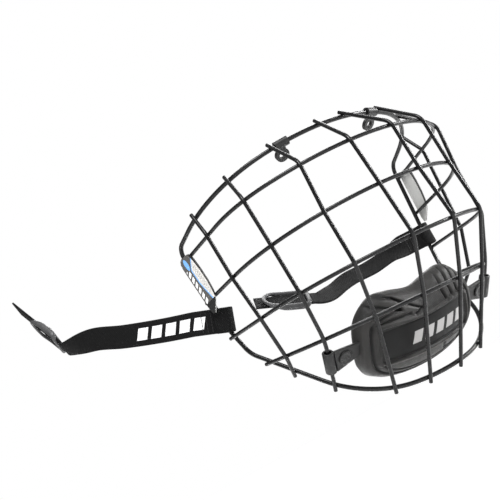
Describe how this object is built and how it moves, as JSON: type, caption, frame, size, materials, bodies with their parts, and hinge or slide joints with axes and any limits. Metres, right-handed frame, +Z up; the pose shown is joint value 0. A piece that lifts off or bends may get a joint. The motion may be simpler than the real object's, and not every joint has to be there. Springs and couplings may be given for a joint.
{
  "type": "hockey helmet cage",
  "caption": "Welded wire face cage for a hockey helmet, with side plates, forehead screw clips, webbing side straps with adjusters and a padded chin cup on snap tabs.",
  "frame": {"origin": "on the wearer's middle plane at the height of the eye opening's middle, in the plane where the cage meets the helmet's side; it is the helmet_seat mount", "axes": "+Z up as worn, the wearer looks along -Y, +X to the wearer's left"},
  "size_m": [0.2963, 0.2981, 0.2156],
  "materials": {
    "wire_coating": "semi-gloss black coating on steel wire",
    "plate_plastic": "printed gloss sheet",
    "clip_plastic": "moulded, matt",
    "webbing": "black woven nylon webbing",
    "slide_plastic": "moulded, satin",
    "cup_skin": "moulded foam skin with leather grain",
    "cup_foam": "soft closed-cell foam, matt",
    "cup_band": "smooth soft rubber, satin",
    "tab_rubber": "moulded, satin",
    "snap_metal": "dark lacquer"
  },
  "bodies": {
    "cage": {"rim_wire": "wire_coating", "level_wire_1": "wire_coating", "level_wire_2": "wire_coating", "level_wire_3": "wire_coating", "level_wire_4": "wire_coating", "upright_wire_1": "wire_coating", "upright_wire_2": "wire_coating", "upright_wire_3": "wire_coating", "upright_wire_4": "wire_coating", "upright_wire_5": "wire_coating", "upright_wire_6": "wire_coating", "upright_wire_7": "wire_coating", "upright_wire_8": "wire_coating", "side_plate_right": "plate_plastic", "side_plate_left": "plate_plastic"},
    "clip_right": {"forehead_clip_right": "clip_plastic"},
    "clip_left": {"forehead_clip_left": "clip_plastic"},
    "strap_right": {"side_strap_right": "webbing"},
    "strap_left": {"side_strap_left": "webbing"},
    "slide_right": {"strap_slide_right": "slide_plastic"},
    "slide_left": {"strap_slide_left": "slide_plastic"},
    "chin_cup": {"chin_shell": "cup_skin", "chin_liner": "cup_foam", "chin_band": "cup_band", "chin_tab_right": "tab_rubber", "chin_tab_left": "tab_rubber", "snap_cap_right": "snap_metal", "snap_cap_left": "snap_metal", "snap_socket_right": "snap_metal", "snap_socket_left": "snap_metal"}
  },
  "joints": [
    {"name": "clip_right_swing", "type": "hinge", "parent": "cage", "child": "clip_right", "pos_m": [-0.0415, -0.02382, 0.08171], "axis": [0.946, -0.3132, 0.0839], "range_deg": [-50, 130]},
    {"name": "clip_left_swing", "type": "hinge", "parent": "cage", "child": "clip_left", "pos_m": [0.0415, -0.02382, 0.08171], "axis": [0.946, 0.3132, -0.0839], "range_deg": [-50, 130]},
    {"name": "strap_right_swing", "type": "hinge", "parent": "cage", "child": "strap_right", "pos_m": [-0.09991, 0.06296, -0.0015], "axis": [-0.0907, -0.0036, 0.9959], "range_deg": [-20, 35]},
    {"name": "strap_left_swing", "type": "hinge", "parent": "cage", "child": "strap_left", "pos_m": [0.09964, 0.06298, -0.0045], "axis": [-0.0907, 0.0036, -0.9959], "range_deg": [-3, 100]},
    {"name": "slide_right_run", "type": "slide", "parent": "strap_right", "child": "slide_right", "axis": [-0.1201, 0.6005, 0.7906], "range_m": [0, 0.02]},
    {"name": "slide_left_run", "type": "slide", "parent": "strap_left", "child": "slide_left", "axis": [-0.881, 0.3004, 0.3654], "range_m": [-0.002, 0.008]},
    {"name": "chin_cup_tilt", "type": "hinge", "parent": "cage", "child": "chin_cup", "pos_m": [0, 0.00335, -0.06594], "axis": [1, 0, 0], "range_deg": [-5.5, 5.5]}
  ]
}
